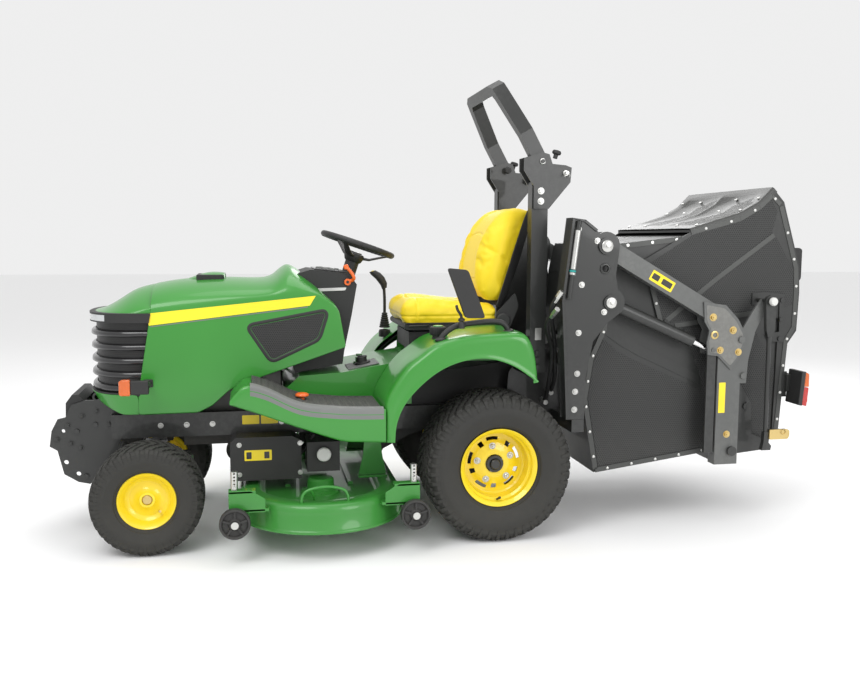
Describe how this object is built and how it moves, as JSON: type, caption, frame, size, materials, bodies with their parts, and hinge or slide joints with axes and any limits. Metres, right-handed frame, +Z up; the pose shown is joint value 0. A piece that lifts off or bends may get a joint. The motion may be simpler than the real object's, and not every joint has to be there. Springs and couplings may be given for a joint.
{
  "type": "riding lawn mower",
  "caption": "Ride-on mower with front hood, wide cutting deck, sprung seat, folding roll-over hoop and a high-lift tipping grass collector.",
  "frame": {"origin": "on the ground under the middle of the machine's length and width", "axes": "+Z up, -Y towards the hood, +X to the driver's left"},
  "size_m": [1.4, 3.458, 2.02],
  "materials": {
    "green_paint": "gloss",
    "black_steel": "satin",
    "grey_steel": "satin",
    "mower_yellow": "gloss",
    "black_plastic": "matte",
    "tyre_rubber": "matte",
    "seat_vinyl": "satin",
    "mat_rubber": "matte",
    "engine_metal": "matte",
    "bright_steel": "brushed",
    "hose_rubber": "matte",
    "lamp_lens": "clear",
    "orange_plastic": "gloss",
    "green_plastic": "gloss",
    "grey_plastic": "matte"
  },
  "bodies": {
    "chassis": {"frame_rails": "black_steel", "hitch_plates": "black_steel", "bumper_cap": "black_plastic", "engine": "engine_metal", "side_housings": "black_plastic", "rear_axle": "black_steel", "footboards": "green_plastic", "foot_mats": "mat_rubber", "floor_cover": "green_plastic", "rear_fenders": "green_plastic", "fender_liners": "black_plastic", "dash_console": "black_plastic", "rops_posts": "black_steel", "rear_frame": "black_steel", "lift_towers": "black_steel", "hydraulic_hoses": "hose_rubber", "grass_chute": "black_plastic"},
    "front_axle": {"front_axle": "black_steel"},
    "knuckle_left": {"knuckle_left": "black_steel"},
    "knuckle_right": {"knuckle_right": "black_steel"},
    "tie_rod": {"tie_rod": "bright_steel"},
    "front_wheel_left": {"front_rim_left": "mower_yellow", "front_tyre_left": "tyre_rubber"},
    "front_wheel_right": {"front_rim_right": "mower_yellow", "front_tyre_right": "tyre_rubber"},
    "rear_wheel_left": {"rear_rim_left": "mower_yellow", "rear_tyre_left": "tyre_rubber"},
    "rear_wheel_right": {"rear_rim_right": "mower_yellow", "rear_tyre_right": "tyre_rubber"},
    "steering_wheel": {"steering_wheel": "black_plastic"},
    "hood": {"hood": "green_plastic", "hood_trim": "black_plastic", "front_lamps": "lamp_lens"},
    "seat_suspension": {"seat_base": "black_plastic"},
    "seat": {"seat_cushion": "seat_vinyl"},
    "seat_back": {"seat_back_shell": "black_plastic", "seat_back_pad": "seat_vinyl"},
    "rops_hoop": {"rops_hoop": "black_steel"},
    "mirror": {"mirror": "black_plastic"},
    "dash_lever": {"dash_lever": "orange_plastic"},
    "foot_button": {"foot_button": "orange_plastic"},
    "drive_pedals": {"drive_pedals": "black_plastic"},
    "lift_lever": {"lift_lever": "black_plastic"},
    "filler_cap": {"filler_cap": "black_plastic"},
    "deck": {"deck_shell": "green_paint"},
    "gauge_posts": {"gauge_posts": "bright_steel"},
    "gauge_wheels_front": {"gauge_wheels_front": "black_plastic"},
    "gauge_wheels_rear": {"gauge_wheels_rear": "black_plastic"},
    "blade_left": {"blade_left": "bright_steel"},
    "blade_right": {"blade_right": "bright_steel"},
    "lift_arms": {"lift_arms": "grey_steel"},
    "ram_barrels": {"ram_barrels": "black_steel"},
    "ram_rods": {"ram_rods": "bright_steel"},
    "safety_props": {"safety_props": "black_steel"},
    "tilt_brackets": {"tilt_brackets": "black_steel"},
    "hopper": {"hopper_box": "grey_steel", "hopper_mesh": "black_plastic"},
    "tailgate": {"tailgate": "grey_plastic", "latch_bars": "black_steel", "tail_lamps": "lamp_lens"}
  },
  "joints": [
    {"name": "axle_swing", "type": "hinge", "parent": "chassis", "child": "front_axle", "pos_m": [0, -1.302, 0.34], "axis": [0, 1, 0], "range_deg": [-6, 6]},
    {"name": "steer_left", "type": "hinge", "parent": "front_axle", "child": "knuckle_left", "pos_m": [0.259, -1.302, 0.2305], "axis": [0, 0, 1], "range_deg": [-30, 30]},
    {"name": "steer_right", "type": "hinge", "parent": "front_axle", "child": "knuckle_right", "pos_m": [-0.259, -1.302, 0.2305], "axis": [0, 0, 1], "range_deg": [-30, 30]},
    {"name": "tie_rod_swing", "type": "hinge", "parent": "knuckle_left", "child": "tie_rod", "pos_m": [0.239, -1.172, 0.26], "axis": [0, 0, 1], "range_deg": [-30, 30]},
    {"name": "front_wheel_left_spin", "type": "hinge", "parent": "knuckle_left", "child": "front_wheel_left", "pos_m": [0.4055, -1.302, 0.2305], "axis": [1, 0, 0], "continuous": true},
    {"name": "front_wheel_right_spin", "type": "hinge", "parent": "knuckle_right", "child": "front_wheel_right", "pos_m": [-0.4055, -1.302, 0.2305], "axis": [1, 0, 0], "continuous": true},
    {"name": "rear_wheel_left_spin", "type": "hinge", "parent": "chassis", "child": "rear_wheel_left", "pos_m": [0.446, 0.173, 0.324], "axis": [1, 0, 0], "continuous": true},
    {"name": "rear_wheel_right_spin", "type": "hinge", "parent": "chassis", "child": "rear_wheel_right", "pos_m": [-0.446, 0.173, 0.324], "axis": [1, 0, 0], "continuous": true},
    {"name": "steering_wheel_turn", "type": "hinge", "parent": "chassis", "child": "steering_wheel", "pos_m": [0, -0.371, 1.278], "axis": [0, 0.319, 0.9478], "range_deg": [-540, 540]},
    {"name": "hood_open", "type": "hinge", "parent": "chassis", "child": "hood", "pos_m": [0, -1.527, 0.62], "axis": [1, 0, 0], "range_deg": [0, 45]},
    {"name": "seat_suspension_travel", "type": "slide", "parent": "chassis", "child": "seat_suspension", "axis": [0, 0, 1], "range_m": [-0.03, 0.02]},
    {"name": "seat_slide", "type": "slide", "parent": "seat_suspension", "child": "seat", "axis": [0, 1, 0], "range_m": [-0.075, 0.075]},
    {"name": "seat_recline", "type": "hinge", "parent": "seat", "child": "seat_back", "pos_m": [0, 0.268, 0.935], "axis": [1, 0, 0], "range_deg": [-18, 8]},
    {"name": "hoop_fold", "type": "hinge", "parent": "chassis", "child": "rops_hoop", "pos_m": [0, 0.416, 1.65], "axis": [1, 0, 0], "range_deg": [-120, 0]},
    {"name": "mirror_turn", "type": "hinge", "parent": "chassis", "child": "mirror", "pos_m": [0.549, 0.001, 0.962], "axis": [0, 0, 1], "range_deg": [-30, 30]},
    {"name": "dash_lever_move", "type": "hinge", "parent": "chassis", "child": "dash_lever", "pos_m": [0.2, -0.44, 1.112], "axis": [1, 0, 0], "range_deg": [-15, 15]},
    {"name": "foot_button_press", "type": "slide", "parent": "chassis", "child": "foot_button", "axis": [0, 0, 1], "range_m": [-0.008, 0], "stiffness_N_per_m": 1500},
    {"name": "pedals_rock", "type": "hinge", "parent": "chassis", "child": "drive_pedals", "pos_m": [-0.3, -0.702, 0.69], "axis": [1, 0, 0], "range_deg": [-10, 10]},
    {"name": "lift_lever_move", "type": "hinge", "parent": "chassis", "child": "lift_lever", "pos_m": [-0.32, -0.198, 0.85], "axis": [1, 0, 0], "range_deg": [-10, 10]},
    {"name": "filler_cap_turn", "type": "hinge", "parent": "chassis", "child": "filler_cap", "pos_m": [0.43, -0.075, 0.886], "axis": [0, 0, 1], "range_deg": [0, 90]},
    {"name": "deck_lift", "type": "slide", "parent": "chassis", "child": "deck", "axis": [0, 0, 1], "range_m": [-0.09, 0.005]},
    {"name": "gauge_height", "type": "slide", "parent": "deck", "child": "gauge_posts", "axis": [0, 0, 1], "range_m": [-0.018, 0.018]},
    {"name": "gauge_wheels_front_spin", "type": "hinge", "parent": "gauge_posts", "child": "gauge_wheels_front", "pos_m": [0, -0.9465, 0.174], "axis": [1, 0, 0], "continuous": true},
    {"name": "gauge_wheels_rear_spin", "type": "hinge", "parent": "gauge_posts", "child": "gauge_wheels_rear", "pos_m": [0, -0.2145, 0.174], "axis": [1, 0, 0], "continuous": true},
    {"name": "blade_left_spin", "type": "hinge", "parent": "deck", "child": "blade_left", "pos_m": [0.346, -0.5805, 0.2], "axis": [0, 0, 1], "continuous": true},
    {"name": "blade_right_spin", "type": "hinge", "parent": "deck", "child": "blade_right", "pos_m": [-0.346, -0.5805, 0.2], "axis": [0, 0, 1], "continuous": true},
    {"name": "collector_lift", "type": "hinge", "parent": "chassis", "child": "lift_arms", "pos_m": [0, 0.655, 1.278], "axis": [1, 0, 0], "range_deg": [0, 80]},
    {"name": "ram_swing", "type": "hinge", "parent": "chassis", "child": "ram_barrels", "pos_m": [0, 0.68, 1.031], "axis": [1, 0, 0], "range_deg": [0, 80]},
    {"name": "ram_extend", "type": "slide", "parent": "ram_barrels", "child": "ram_rods", "axis": [0, 0.9157, -0.4019], "range_m": [0, 0.4]},
    {"name": "safety_prop_swing", "type": "hinge", "parent": "lift_arms", "child": "safety_props", "pos_m": [0, 1.179, 0.812], "axis": [1, 0, 0], "range_deg": [-60, 0]},
    {"name": "collector_level", "type": "hinge", "parent": "lift_arms", "child": "tilt_brackets", "pos_m": [0, 1.289, 0.342], "axis": [1, 0, 0], "range_deg": [-80, 0]},
    {"name": "collector_dump", "type": "hinge", "parent": "tilt_brackets", "child": "hopper", "pos_m": [0, 1.401, 0.533], "axis": [1, 0, 0], "range_deg": [-50, 0]},
    {"name": "tailgate_open", "type": "hinge", "parent": "hopper", "child": "tailgate", "pos_m": [0, 0.988, 0.937], "axis": [1, 0, 0], "range_deg": [0, 40]}
  ],
  "couplings": [
    {"joint": "steer_right", "follows": "steer_left", "ratio": 1},
    {"joint": "tie_rod_swing", "follows": "steer_left", "ratio": -1},
    {"joint": "steering_wheel_turn", "follows": "steer_left", "ratio": 18},
    {"joint": "blade_right_spin", "follows": "blade_left_spin", "ratio": -1},
    {"joint": "ram_swing", "follows": "collector_lift", "ratio": 0.95145},
    {"joint": "ram_extend", "follows": "collector_lift", "m_per_rad": 0.22615},
    {"joint": "collector_level", "follows": "collector_lift", "ratio": -1},
    {"joint": "tailgate_open", "follows": "collector_dump", "ratio": -0.8}
  ]
}
